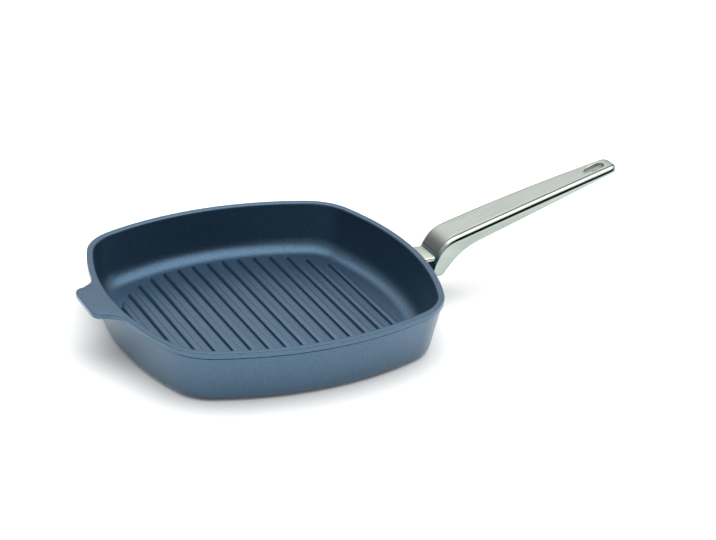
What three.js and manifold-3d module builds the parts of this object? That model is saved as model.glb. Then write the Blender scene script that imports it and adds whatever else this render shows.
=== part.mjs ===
// A square grill pan: a coated cast-aluminium body and a cast steel handle screwed to it from below.
// Units are millimetres and +Z is up. The origin is the middle of the base, on the hob.
// The handle points to +X and the helper tab to -X. The grill ribs run along Y.

import * as THREE from 'three';
import { mergeVertices } from 'three/addons/utils/BufferGeometryUtils.js';
import Module from 'manifold-3d';

const wasm = await Module();
wasm.setup();

// Body in plan: a square with bulging sides and round corners
const RIM_HALF = 140;
const SIDE_RADIUS = 262;
const CORNER_RADIUS = 50;

// Body in section
const RIM_HEIGHT = 48.8;
const RIM_LAND = 5.7;
const RIM_ROUND = 0.9;
const BEAD_HEIGHT = 5;
const BEAD_STEP = 1.4;
const BEAD_CHAMFER = 0.8;
const OUTER_LEAN = 8;
const BASE_FILLET = 9;
const INNER_LEAN = 4;
const FLOOR_FILLET = 15.2;
const FLOOR_THICKNESS = 5;

// Ribs: straight bars, trimmed to a rounded field on the flat of the floor
const RIB_COUNT = 15;
const RIB_PITCH = 14.3;
const RIB_SHIFT = -1;
const RIB_FOOT = 7.5;
const RIB_TOP = 6;
const RIB_HEIGHT = 3;
const RIB_GUTTER = 0.6;
const RIB_END_SLOPE = 1.5;
const FIELD_CORNER_RADIUS = 90;

// Helper tab, level with the foot of the rim's rounding
const TAB_REACH = 18.2;
const TAB_TIP_HALF = 27;
const TAB_NECK_HALF = 29;
const TAB_ROOT_HALF = 42;
const TAB_CORNER = 7;
const TAB_FLARE = 2;
const TAB_THICKNESS = 3;

// Boss on the wall that carries the handle, and the heat guard on top of it
const BOSS_DROP = 12;
const BOSS_HALF = 9.2;
const BOSS_DEPTH = 12;
const BOSS_END_DEPTH = 3;
const BOSS_BEYOND_SCREW = 7.5;
const BOSS_BEFORE_SCREW = 3;
const GUARD_THICKNESS = 4;
const GUARD_ROUND = 1.6;
const GUARD_WALL_GAP = 0.6;

// Fixing screw, pointing up, and its split washer
const SCREW_REACH = 26;
const SCREW_RADIUS = 3;
const SCREW_LENGTH = 18;
const SCREW_CHAMFER = 0.8;
const HEAD_RADIUS = 5;
const HEAD_HEIGHT = 4;
const SOCKET_FLATS = 4;
const SOCKET_SIDES = 6;
const SOCKET_DEPTH = 2.4;
const WASHER_RADIUS = 5.2;
const WASHER_THICKNESS = 1.6;
const WASHER_SPLIT = 1;
const SPOT_FACE_ABOVE = 4.4;
const SPOT_FACE_RADIUS = 6;
const CLEARANCE = 0.3;
const BORE_SPARE = 0.8;

// Handle: a hood over the boss that runs out into a tapering grip
const HOOD_HALF = 17.4;
const CHEEK = 3.2;
const ROOF = 3.2;
const NOSE_REACH = 16.6;
const NOSE_LIP_GAP = 1.4;
const NOSE_LENGTH = 20.2;
const NOSE_HEIGHT = 17.3;
const NOSE_PULL = 8.6;
const BROW_PULL = 13;
const CHEEK_LEAN = 5.2;
const CHEEK_DEPTH = 19.2;
const CHEEK_TOE = 2.2;
const HEEL_LENGTH = 10.8;
const CHANNEL_LENGTH = 29.6;
const PILLAR_RADIUS = 6;
const GRIP_LENGTH = 154.5;
const GRIP_RISE = 39;
const GRIP_CROWN = 2;
const GRIP_ROOT_DEPTH = 17;
const GRIP_TIP_DEPTH = 7.6;
const HAUNCH_LENGTH = 38.6;
const TIP_HALF = 11.2;
const GRIP_BOW = 1.2;
const TIP_NOSE = 6;
const TIP_CORNER = 7;
const TOP_ROUND = 3;
const UNDER_ROUND = 4;
const ROUND_SHARE = 0.45;
const FLANK_SLOPE = 0.17;
const HEEL_SWEEP = 2.5;
const KNEE_LENGTH = 12;

// Hanging slot near the tip: a teardrop, wide end outwards
const SLOT_FROM_TIP = 14.5;
const SLOT_LENGTH = 12.5;
const SLOT_WIDE_RADIUS = 4.8;
const SLOT_NARROW_RADIUS = 3;

// Fineness of the round stretches
const SIDE_STEPS = 12;
const CORNER_STEPS = 8;
const FILLET_STEPS = 6;
const NOSE_STEPS = 12;
const GRIP_STEPS = 12;
const ROUND_STEPS = 3;
const BORE_SIDES = 32;
const OVERCUT = 1;

// Places that several pieces share
const bossTop = RIM_HEIGHT - BOSS_DROP;
const guardTop = bossTop + GUARD_THICKNESS;
const spotFace = bossTop - SPOT_FACE_ABOVE;
const screwX = RIM_HALF + SCREW_REACH;
const screwTip = spotFace - WASHER_THICKNESS + SCREW_LENGTH;
const boreRadius = SCREW_RADIUS + CLEARANCE;
const floorInset = RIM_LAND + INNER_LEAN + FLOOR_FILLET;
const hoodFront = RIM_HALF + NOSE_REACH;
const noseBottom = guardTop + NOSE_LIP_GAP;
const channelHalf = HOOD_HALF - CHEEK;
const guardHalf = channelHalf - CLEARANCE;
const cheekBottom = noseBottom - CHEEK_DEPTH;
const gripStart = hoodFront + NOSE_LENGTH;
const tipX = gripStart + GRIP_LENGTH + TIP_NOSE;

// Geometry to solid and back
function solid(geometry) {
  geometry.deleteAttribute('normal');
  geometry.deleteAttribute('uv');
  const merged = mergeVertices(geometry);
  return new wasm.Manifold(new wasm.Mesh({
    numProp: 3,
    vertProperties: Float32Array.from(merged.attributes.position.array),
    triVerts: Uint32Array.from(merged.index.array),
  }));
}

function piece(name, body, material) {
  const { vertProperties, triVerts } = body.getMesh();
  const geometry = new THREE.BufferGeometry();
  geometry.setAttribute('position', new THREE.BufferAttribute(vertProperties, 3));
  geometry.setIndex(new THREE.BufferAttribute(triVerts, 1));
  geometry.computeVertexNormals();
  const mesh = new THREE.Mesh(geometry, material);
  mesh.name = name;
  return mesh;
}

// Skin over a stack of convex rings with equal counts of points, closed at both ends
function loft(rings) {
  const count = rings[0].length;
  const index = [];
  for (let ring = 0; ring + 1 < rings.length; ring += 1) {
    for (let i = 0; i < count; i += 1) {
      const a = ring * count + i;
      const b = ring * count + ((i + 1) % count);
      index.push(a, b, b + count);
      index.push(a, b + count, a + count);
    }
  }
  const last = (rings.length - 1) * count;
  for (let i = 1; i + 1 < count; i += 1) {
    index.push(0, i + 1, i);
    index.push(last, last + i, last + i + 1);
  }
  const geometry = new THREE.BufferGeometry().setFromPoints(rings.flat());
  geometry.setIndex(index);
  return geometry;
}

// Upright prism of a side outline drawn in X and Z, from -half to +half in Y
function sideBar(shape, half) {
  const geometry = new THREE.ExtrudeGeometry(shape, { depth: 2 * half, bevelEnabled: false });
  geometry.rotateX(Math.PI / 2);
  geometry.translate(0, half, 0);
  return solid(geometry);
}

function upright(radius, bottom, top, x) {
  const geometry = new THREE.CylinderGeometry(radius, radius, top - bottom, BORE_SIDES);
  geometry.rotateX(Math.PI / 2);
  geometry.translate(x, 0, (top + bottom) / 2);
  return solid(geometry);
}

// Plan outline: four side arcs joined by tangent corner arcs
function squareRing(half, sideRadius, cornerRadius, z) {
  const centre = half - sideRadius;
  const reach = sideRadius - cornerRadius;
  const corner = (centre + Math.sqrt(2 * reach * reach - centre * centre)) / 2;
  const turn = Math.atan2(corner, corner - centre);
  const points = [];
  for (let quarter = 0; quarter < 4; quarter += 1) {
    const facing = quarter * Math.PI / 2;
    const arc = (along, across, radius, from, to, steps) => {
      for (let i = 0; i < steps; i += 1) {
        const angle = from + (to - from) * i / steps;
        const point = new THREE.Vector3(radius * Math.cos(angle), radius * Math.sin(angle), z);
        point.add(new THREE.Vector3(along, across, 0));
        points.push(point.applyAxisAngle(new THREE.Vector3(0, 0, 1), facing));
      }
    };
    arc(centre, 0, sideRadius, -turn, turn, SIDE_STEPS);
    arc(corner, corner, cornerRadius, turn, Math.PI / 2 - turn, CORNER_STEPS);
  }
  return points;
}

// Outline of the body at a distance inside the rim
function bodyRing(inset, z) {
  return squareRing(RIM_HALF - inset, SIDE_RADIUS - inset, CORNER_RADIUS - inset, z);
}

function outerForm() {
  const baseInset = BEAD_STEP + OUTER_LEAN + BASE_FILLET;
  const rings = [];
  for (let i = 0; i <= FILLET_STEPS; i += 1) {
    const angle = i / FILLET_STEPS * Math.PI / 2;
    rings.push(bodyRing(baseInset - BASE_FILLET * Math.sin(angle), BASE_FILLET * (1 - Math.cos(angle))));
  }
  const beadFoot = RIM_HEIGHT - BEAD_HEIGHT;
  rings.push(bodyRing(BEAD_STEP, beadFoot));
  rings.push(bodyRing(0, beadFoot + BEAD_CHAMFER));
  for (let i = 0; i <= ROUND_STEPS; i += 1) {
    const angle = i / ROUND_STEPS * Math.PI / 2;
    rings.push(bodyRing(RIM_ROUND * (1 - Math.cos(angle)), RIM_HEIGHT - RIM_ROUND * (1 - Math.sin(angle))));
  }
  return solid(loft(rings));
}

function hollow() {
  const rings = [];
  for (let i = 0; i <= FILLET_STEPS; i += 1) {
    const angle = i / FILLET_STEPS * Math.PI / 2;
    const inset = floorInset - FLOOR_FILLET * Math.sin(angle);
    rings.push(bodyRing(inset, FLOOR_THICKNESS + FLOOR_FILLET * (1 - Math.cos(angle))));
  }
  for (let i = 0; i <= ROUND_STEPS; i += 1) {
    const angle = i / ROUND_STEPS * Math.PI / 2;
    const inset = RIM_LAND - RIM_ROUND * (1 - Math.cos(angle));
    rings.push(bodyRing(inset, RIM_HEIGHT - RIM_ROUND * (1 - Math.sin(angle))));
  }
  rings.push(bodyRing(RIM_LAND - RIM_ROUND, RIM_HEIGHT + OVERCUT));
  return solid(loft(rings));
}

function ribs() {
  const fieldHalf = RIM_HALF - floorInset - RIB_GUTTER;
  const fieldRing = (inset, z) => squareRing(
    fieldHalf - inset, SIDE_RADIUS - floorInset - inset, FIELD_CORNER_RADIUS - inset, z);
  const foot = FLOOR_THICKNESS - OVERCUT;
  const top = FLOOR_THICKNESS + RIB_HEIGHT;
  const fieldRings = [fieldRing(0, foot), fieldRing(0, FLOOR_THICKNESS), fieldRing(RIB_END_SLOPE, top)];
  const field = solid(loft(fieldRings));
  const bars = [];
  for (let i = 0; i < RIB_COUNT; i += 1) {
    const x = RIB_SHIFT + (i - (RIB_COUNT - 1) / 2) * RIB_PITCH;
    const section = new THREE.Shape();
    section.moveTo(x - RIB_FOOT / 2, foot);
    section.lineTo(x + RIB_FOOT / 2, foot);
    section.lineTo(x + RIB_FOOT / 2, FLOOR_THICKNESS);
    section.lineTo(x + RIB_TOP / 2, top);
    section.lineTo(x - RIB_TOP / 2, top);
    section.lineTo(x - RIB_FOOT / 2, FLOOR_THICKNESS);
    bars.push(sideBar(section, fieldHalf + OVERCUT).intersect(field));
  }
  return bars.reduce((sum, bar) => sum.add(bar));
}

function helperTab() {
  const tip = -RIM_HALF - TAB_REACH;
  const neck = -RIM_HALF - TAB_CORNER;
  const root = -RIM_HALF + RIM_LAND;
  const outline = new THREE.Shape();
  outline.moveTo(root, TAB_ROOT_HALF);
  outline.quadraticCurveTo(-RIM_HALF, TAB_NECK_HALF + TAB_FLARE, neck, TAB_NECK_HALF);
  outline.lineTo(tip + TAB_CORNER, TAB_TIP_HALF);
  outline.quadraticCurveTo(tip, TAB_TIP_HALF, tip, TAB_TIP_HALF - TAB_CORNER);
  outline.lineTo(tip, TAB_CORNER - TAB_TIP_HALF);
  outline.quadraticCurveTo(tip, -TAB_TIP_HALF, tip + TAB_CORNER, -TAB_TIP_HALF);
  outline.lineTo(neck, -TAB_NECK_HALF);
  outline.quadraticCurveTo(-RIM_HALF, -TAB_NECK_HALF - TAB_FLARE, root, -TAB_ROOT_HALF);
  const geometry = new THREE.ExtrudeGeometry(outline, {
    depth: TAB_THICKNESS, bevelEnabled: false, curveSegments: CORNER_STEPS,
  });
  geometry.translate(0, 0, RIM_HEIGHT - RIM_ROUND - TAB_THICKNESS);
  return solid(geometry);
}

function boss() {
  const root = RIM_HALF - floorInset;
  const end = screwX + BOSS_BEYOND_SCREW;
  const outline = new THREE.Shape();
  outline.moveTo(root, bossTop);
  outline.lineTo(root, bossTop - BOSS_DEPTH);
  outline.lineTo(screwX - BOSS_BEFORE_SCREW, bossTop - BOSS_DEPTH + BOSS_END_DEPTH);
  outline.lineTo(end, bossTop - BOSS_END_DEPTH);
  outline.lineTo(end, bossTop);
  const bore = upright(boreRadius, bossTop - BOSS_DEPTH, bossTop + OVERCUT, screwX);
  const seat = upright(SPOT_FACE_RADIUS, bossTop - BOSS_DEPTH - OVERCUT, spotFace, screwX);
  return sideBar(outline, BOSS_HALF).subtract(bore).subtract(seat);
}

function panBody(material) {
  const shell = outerForm().add(helperTab()).add(boss()).subtract(hollow());
  return piece('pan_body', shell.add(ribs()), material);
}

function heatGuard(material) {
  const start = RIM_HALF - BEAD_STEP + GUARD_WALL_GAP;
  const length = screwX + BOSS_BEYOND_SCREW - start;
  const section = new THREE.Shape();
  section.moveTo(-guardHalf, 0);
  section.lineTo(guardHalf, 0);
  section.lineTo(guardHalf, GUARD_THICKNESS - GUARD_ROUND);
  section.absarc(guardHalf - GUARD_ROUND, GUARD_THICKNESS - GUARD_ROUND, GUARD_ROUND, 0, Math.PI / 2);
  section.absarc(GUARD_ROUND - guardHalf, GUARD_THICKNESS - GUARD_ROUND, GUARD_ROUND, Math.PI / 2, Math.PI);
  const geometry = new THREE.ExtrudeGeometry(section, {
    depth: length, bevelEnabled: false, curveSegments: ROUND_STEPS,
  });
  geometry.rotateX(Math.PI / 2);
  geometry.rotateZ(Math.PI / 2);
  geometry.translate(start, 0, bossTop);
  const bore = upright(boreRadius, bossTop - OVERCUT, guardTop + OVERCUT, screwX);
  return piece('heat_guard', solid(geometry).subtract(bore), material);
}

// Side view of the handle: upper edge from the toe of the cheeks over the nose to the tip
function upperEdge() {
  const toe = new THREE.Vector2(hoodFront - CHEEK_LEAN, cheekBottom + CHEEK_TOE);
  const lip = new THREE.Vector2(hoodFront, noseBottom);
  const brow = new THREE.Vector2(gripStart, noseBottom + NOSE_HEIGHT);
  const end = new THREE.Vector2(gripStart + GRIP_LENGTH, brow.y + GRIP_RISE);
  const middle = new THREE.Vector2((brow.x + end.x) / 2, (brow.y + end.y) / 2 + GRIP_CROWN);
  const tip = new THREE.Vector2(tipX, end.y - GRIP_TIP_DEPTH / 2);
  const rise = lip.clone().sub(toe).setLength(NOSE_PULL).add(lip);
  const shoulder = brow.clone().sub(middle).setLength(BROW_PULL).add(brow);
  return {
    slant: new THREE.LineCurve(toe, lip),
    nose: new THREE.CubicBezierCurve(lip, rise, shoulder, brow),
    grip: new THREE.QuadraticBezierCurve(brow, middle, end),
    point: new THREE.QuadraticBezierCurve(end, new THREE.Vector2(tipX, end.y), tip),
  };
}

// Lower edge as points from the toe along the cheek and the underside of the grip to the tip
function lowerEdge(upper) {
  const toe = new THREE.Vector2(upper.slant.v1.x, cheekBottom);
  const heel = new THREE.Vector2(toe.x + HEEL_LENGTH, cheekBottom);
  const haunchX = hoodFront + HAUNCH_LENGTH;
  const aboveHaunch = heightAt(upper.grip.getPoints(GRIP_STEPS), haunchX);
  const haunch = new THREE.Vector2(haunchX, aboveHaunch - GRIP_ROOT_DEPTH);
  const end = upper.grip.v2.clone().sub(new THREE.Vector2(0, GRIP_TIP_DEPTH));
  const slope = (end.y - haunch.y) / (end.x - haunch.x);
  const knee = new THREE.Vector2(heel.x + KNEE_LENGTH, 0);
  knee.y = haunch.y - slope * (haunch.x - knee.x);
  const ankle = new THREE.Vector2(heel.x + HEEL_SWEEP, heel.y);
  const sweep = new THREE.CubicBezierCurve(heel, ankle, knee, haunch);
  const tip = upper.point.v2;
  const point = new THREE.QuadraticBezierCurve(end, new THREE.Vector2(tip.x, end.y), tip);
  return [toe, ...sweep.getPoints(NOSE_STEPS), ...point.getPoints(FILLET_STEPS)];
}

function heightAt(points, x) {
  const next = points.findIndex((p, i) => i > 0 && p.x >= x);
  const b = points[next === -1 ? points.length - 1 : next];
  const a = points[next === -1 ? points.length - 2 : next - 1];
  return a.y + (b.y - a.y) * (x - a.x) / (b.x - a.x);
}

// Half the handle's width: even over the hood, tapering in a slight bow and round at the tip
function halfWidthAt(x) {
  const along = Math.max(0, (x - gripStart) / (tipX - gripStart));
  const straight = HOOD_HALF + (TIP_HALF - HOOD_HALF) * along;
  const bow = GRIP_BOW * 4 * along * (1 - along);
  const past = Math.max(0, x - (tipX - TIP_CORNER));
  return straight + bow - TIP_CORNER + Math.sqrt(TIP_CORNER * TIP_CORNER - past * past);
}

// Cross-section of the handle: round edges, with flanks that lean in below along the grip
function handleRing(x, top, bottom) {
  const half = halfWidthAt(x);
  const height = top - bottom;
  const lean = FLANK_SLOPE * height * THREE.MathUtils.clamp((x - hoodFront) / HAUNCH_LENGTH, 0, 1);
  const upper = Math.min(TOP_ROUND, ROUND_SHARE * height, ROUND_SHARE * 2 * half);
  const under = Math.min(UNDER_ROUND, ROUND_SHARE * height, ROUND_SHARE * 2 * (half - lean));
  const centres = [
    [half - lean - under, bottom + under, under],
    [half - upper, top - upper, upper],
    [upper - half, top - upper, upper],
    [under + lean - half, bottom + under, under],
  ];
  return centres.flatMap(([y, z, radius], corner) => {
    const arc = [];
    for (let i = 0; i <= ROUND_STEPS; i += 1) {
      const angle = (corner - 1 + i / ROUND_STEPS) * Math.PI / 2;
      arc.push(new THREE.Vector3(x, y + radius * Math.cos(angle), z + radius * Math.sin(angle)));
    }
    return arc;
  });
}

// Space between the cheeks, open below and at the front, under a roof of even thickness
function channel(upper) {
  const frontX = upper.slant.v1.x - OVERCUT;
  const backX = hoodFront + CHANNEL_LENGTH;
  const floor = cheekBottom - OVERCUT;
  const roof = [];
  for (let i = 0; i <= NOSE_STEPS; i += 1) {
    const along = upper.nose.getTangent(i / NOSE_STEPS);
    const inward = new THREE.Vector2(along.y, -along.x).multiplyScalar(ROOF);
    roof.push(upper.nose.getPoint(i / NOSE_STEPS).add(inward));
  }
  const outline = new THREE.Shape();
  outline.moveTo(frontX, upper.nose.v0.y);
  outline.lineTo(frontX, floor);
  outline.lineTo(backX, floor);
  outline.lineTo(backX, heightAt(roof, backX));
  for (const point of roof.reverse()) {
    outline.lineTo(point.x, point.y);
  }
  return sideBar(outline, channelHalf);
}

function hangingSlot(upper) {
  const spread = Math.acos((SLOT_WIDE_RADIUS - SLOT_NARROW_RADIUS) / SLOT_LENGTH);
  const outline = new THREE.Shape();
  outline.absarc(0, 0, SLOT_WIDE_RADIUS, spread - Math.PI, Math.PI - spread);
  outline.absarc(-SLOT_LENGTH, 0, SLOT_NARROW_RADIUS, Math.PI - spread, Math.PI + spread);
  const depth = 2 * GRIP_ROOT_DEPTH;
  const geometry = new THREE.ExtrudeGeometry(outline, {
    depth, bevelEnabled: false, curveSegments: CORNER_STEPS,
  });
  const { v1, v2 } = upper.grip;
  const slotX = tipX - SLOT_FROM_TIP;
  geometry.translate(0, 0, -depth / 2);
  geometry.rotateY(-Math.atan2(v2.y - v1.y, v2.x - v1.x));
  geometry.translate(slotX, 0, heightAt([v1, v2], slotX) - GRIP_TIP_DEPTH / 2);
  return solid(geometry);
}

function handle(material) {
  const upper = upperEdge();
  const lower = lowerEdge(upper);
  const stations = [
    ...upper.slant.getPoints(ROUND_STEPS),
    ...upper.nose.getPoints(NOSE_STEPS).slice(1),
    ...upper.grip.getPoints(GRIP_STEPS).slice(1),
    ...upper.point.getPoints(FILLET_STEPS).slice(1, -1),
  ];
  const skin = solid(loft(stations.map((p) => handleRing(p.x, p.y, heightAt(lower, p.x)))));
  const pillar = upright(PILLAR_RADIUS, guardTop, upper.grip.v0.y, screwX).intersect(skin);
  const bore = upright(boreRadius, guardTop - OVERCUT, screwTip + BORE_SPARE, screwX);
  const body = skin.subtract(channel(upper)).add(pillar).subtract(bore).subtract(hangingSlot(upper));
  return piece('handle', body, material);
}

function splitWasher(material) {
  const top = spotFace;
  const bottom = spotFace - WASHER_THICKNESS;
  const ring = upright(WASHER_RADIUS, bottom, top, screwX);
  const bore = upright(boreRadius, bottom - OVERCUT, top + OVERCUT, screwX);
  const split = new THREE.BoxGeometry(WASHER_RADIUS, WASHER_SPLIT, WASHER_THICKNESS + 2 * OVERCUT);
  split.translate(screwX - WASHER_RADIUS / 2 - boreRadius / 2, 0, (top + bottom) / 2);
  return piece('split_washer', ring.subtract(bore).subtract(solid(split)), material);
}

function handleScrew(material) {
  const seat = spotFace - WASHER_THICKNESS;
  const profile = [
    [0, seat - HEAD_HEIGHT],
    [HEAD_RADIUS - SCREW_CHAMFER, seat - HEAD_HEIGHT],
    [HEAD_RADIUS, seat - HEAD_HEIGHT + SCREW_CHAMFER],
    [HEAD_RADIUS, seat],
    [SCREW_RADIUS, seat],
    [SCREW_RADIUS, screwTip - SCREW_CHAMFER],
    [SCREW_RADIUS - SCREW_CHAMFER, screwTip],
    [0, screwTip],
  ];
  const geometry = new THREE.LatheGeometry(profile.map(([r, z]) => new THREE.Vector2(r, z)), BORE_SIDES);
  geometry.rotateX(Math.PI / 2);
  geometry.translate(screwX, 0, 0);
  const socketRadius = SOCKET_FLATS / 2 / Math.cos(Math.PI / SOCKET_SIDES);
  const socketCut = SOCKET_DEPTH + OVERCUT;
  const socket = new THREE.CylinderGeometry(socketRadius, socketRadius, socketCut, SOCKET_SIDES);
  socket.rotateX(Math.PI / 2);
  socket.translate(screwX, 0, seat - HEAD_HEIGHT + (SOCKET_DEPTH - OVERCUT) / 2);
  return piece('handle_screw', solid(geometry).subtract(solid(socket)), material);
}

function finish(color, roughness, metalness) {
  return new THREE.MeshStandardMaterial({ color, roughness, metalness });
}

const pan = new THREE.Group();
pan.add(panBody(finish('#5d7389', 0.55, 0.2)));
pan.add(heatGuard(finish('#c9c8b8', 0.3, 1)));
pan.add(handle(finish('#d3d8d4', 0.25, 1)));
pan.add(splitWasher(finish('#8d9296', 0.4, 1)));
pan.add(handleScrew(finish('#9a9fa3', 0.35, 1)));

export default pan;
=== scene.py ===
# %% [markdown]
# A square grill pan: a coated aluminium casting with a ribbed floor, and a steel handle screwed to its side.
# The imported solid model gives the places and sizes. This script gives the pan its fine shape, its finishes
# and a plain studio to stand in. Every length is in metres, so sizes are written as millimetres times MM.

# %% Load the solid model
import math

import bmesh
import bpy
from bmesh.types import BMEdge, BMFace, BMVert
from mathutils import Matrix, Vector


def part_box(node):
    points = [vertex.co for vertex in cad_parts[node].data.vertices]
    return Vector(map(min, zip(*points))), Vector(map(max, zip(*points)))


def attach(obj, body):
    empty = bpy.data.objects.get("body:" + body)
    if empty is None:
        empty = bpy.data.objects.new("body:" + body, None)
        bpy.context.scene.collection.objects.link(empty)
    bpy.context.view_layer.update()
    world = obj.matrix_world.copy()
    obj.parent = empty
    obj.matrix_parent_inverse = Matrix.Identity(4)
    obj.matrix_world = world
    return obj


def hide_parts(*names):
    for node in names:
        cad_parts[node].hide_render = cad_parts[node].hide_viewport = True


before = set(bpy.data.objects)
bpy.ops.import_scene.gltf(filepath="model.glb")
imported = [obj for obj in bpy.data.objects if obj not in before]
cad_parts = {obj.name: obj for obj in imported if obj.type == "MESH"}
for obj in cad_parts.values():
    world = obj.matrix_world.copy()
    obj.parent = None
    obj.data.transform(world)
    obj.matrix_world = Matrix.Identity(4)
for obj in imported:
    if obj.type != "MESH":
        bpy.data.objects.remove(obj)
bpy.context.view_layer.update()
MM = 0.001
print("Solid model:", sorted(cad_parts))

# %% [markdown]
# The camera comes first, because every shape is judged through it. Its direction, roll and lens were worked
# out from the rim, the ribs and the base in the photograph. A roll can't be made with a track-to constraint,
# so the camera's own axes are put into its matrix.

# %% Camera
AZIMUTH = math.radians(-26.32)
ELEVATION = math.radians(25.39)
ROLL = math.radians(2.07)
DISTANCE = 1900 * MM
AIM_RIGHT = 81.27 * MM
AIM_UP = 45.29 * MM
LENS_MM = 112.72
SENSOR_MM = 36

towards = Vector((math.sin(AZIMUTH), -math.cos(AZIMUTH), math.tan(ELEVATION))).normalized()
level = Vector((math.cos(AZIMUTH), math.sin(AZIMUTH), 0))
tilt = Matrix.Rotation(ROLL, 3, towards)
right = tilt @ level
upward = tilt @ towards.cross(level)
camera = bpy.data.objects.new("camera", bpy.data.cameras.new("camera"))
bpy.context.scene.collection.objects.link(camera)
camera.matrix_world = Matrix((right, upward, towards)).transposed().to_4x4()
camera.location = AIM_RIGHT * right + AIM_UP * upward + DISTANCE * towards
camera.data.sensor_width = SENSOR_MM
camera.data.lens = LENS_MM
bpy.context.scene.camera = camera
print("Camera at", [round(x, 3) for x in camera.location])

# %% [markdown]
# Two small helpers draw a profile the way a pen does: a straight stroke extrudes the last point, and an arc
# spins it. The others pick out one kind of item from an operator's answer, close open ends, turn a finished
# bmesh into a piece that rides on the solid model, and cut a piece with a tool.

# %% Helpers for drawing and finishing
SMOOTH_ANGLE = math.radians(38)
# Points that are nearer than this are one point
WELD = 0.01 * MM


def only(kind, items):
    return [item for item in items if isinstance(item, kind)]


def stroke(bm, vert, place):
    new = bmesh.ops.extrude_vert_indiv(bm, verts=[vert])["verts"][0]
    new.co = place
    return new


def arc(bm, vert, centre, axis, angle, steps):
    spun = bmesh.ops.spin(bm, geom=[vert], cent=centre, axis=axis, angle=angle, steps=steps)
    return only(BMVert, spun["geom_last"])[0]


def close_holes(bm):
    open_edges = [edge for edge in bm.edges if edge.is_boundary]
    bmesh.ops.holes_fill(bm, edges=open_edges, sides=0)


def make_piece(name, bm, finishes, slot, *nodes):
    bmesh.ops.remove_doubles(bm, verts=bm.verts[:], dist=WELD)
    bmesh.ops.recalc_face_normals(bm, faces=bm.faces[:])
    mesh = bpy.data.meshes.new(name)
    for finish in finishes:
        mesh.materials.append(finish)
    bm.to_mesh(mesh)
    bm.free()
    mesh.shade_smooth()
    mesh.set_sharp_from_angle(angle=SMOOTH_ANGLE)
    piece = bpy.data.objects.new(name, mesh)
    bpy.context.scene.collection.objects.link(piece)
    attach(piece, "root")
    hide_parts(*nodes)
    print(name, len(mesh.vertices), "vertices", len(mesh.polygons), "faces")
    return piece


def cut(piece, tool, operation="DIFFERENCE"):
    boolean = piece.modifiers.new("cut", "BOOLEAN")
    boolean.operation = operation
    boolean.solver = "EXACT"
    boolean.object = tool
    graph = bpy.context.evaluated_depsgraph_get()
    piece.data = bpy.data.meshes.new_from_object(piece.evaluated_get(graph))
    piece.modifiers.clear()
    bpy.data.objects.remove(tool)
    piece.data.shade_smooth()
    piece.data.set_sharp_from_angle(angle=SMOOTH_ANGLE)
    print("cut", piece.name, "now", len(piece.data.polygons), "faces")


# %% [markdown]
# The finishes come before the pieces, so that each piece can be handed its own. Colours are written as sRGB
# hex, as a paint shop would name them, and one function turns them into the linear values that shaders use.
# A second small function adds a node, sets it and links it, so a material reads as a list of its layers.

# %% Helpers for finishes
def linear(code):
    channels = [int(code[i:i + 2], 16) / 255 for i in (1, 3, 5)]
    curve = [c / 12.92 if c < 0.04045 else ((c + 0.055) / 1.055) ** 2.4 for c in channels]
    return (*curve, 1)


def add_node(tree, kind, inputs, **settings):
    made = tree.nodes.new(kind)
    for name, value in settings.items():
        setattr(made, name, value)
    for name, value in inputs.items():
        if isinstance(value, bpy.types.NodeSocket):
            tree.links.new(value, made.inputs[name])
        else:
            made.inputs[name].default_value = value
    return made


def new_finish(name):
    material = bpy.data.materials.new(name)
    material.use_nodes = True
    material.node_tree.nodes.clear()
    return material, material.node_tree


def finish_with(tree, shader):
    output = tree.nodes.new("ShaderNodeOutputMaterial")
    tree.links.new(shader.outputs["BSDF"], output.inputs["Surface"])


def ramp_stops(ramp, stops):
    while len(ramp.elements) < len(stops):
        ramp.elements.new(0.5)
    for element, (position, colour) in zip(ramp.elements, stops):
        element.position = position
        element.color = colour


def shade_stops(places, shades):
    return [(place, linear(shade)) for place, shade in zip(places, shades)]


def per_size(size):
    # Texture scale at which one grain of a noise is about that size
    return 1 / size


print("Finish helpers ready")

# %% [markdown]
# The pan is sprayed over blasted cast aluminium: a blue-grey coat outside and a darker non-stick coat
# inside. Both carry metal flake and a fine dark speckle. The flake gives a satin sheen, and the pigment
# between the flakes scatters the light from above, so the floor and its fillet are lit evenly and the walls
# stay dark. A fine bump keeps the highlights soft and grainy.

# %% Sprayed coatings
SPECKLE = 0.9 * MM
SPECKLE_STOPS = (0.3, 0.5, 0.68)
GRIT = 0.7 * MM
GRIT_DEPTH = 0.05 * MM
GRIT_STRENGTH = 0.25
CLOUD = 45 * MM
SATIN = (0.34, 0.42)
FLAKE = 0.8
CLEAR_HAZE = 0.3
OUTER_LACQUER = 0.5
INNER_LACQUER = 0.2


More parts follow.
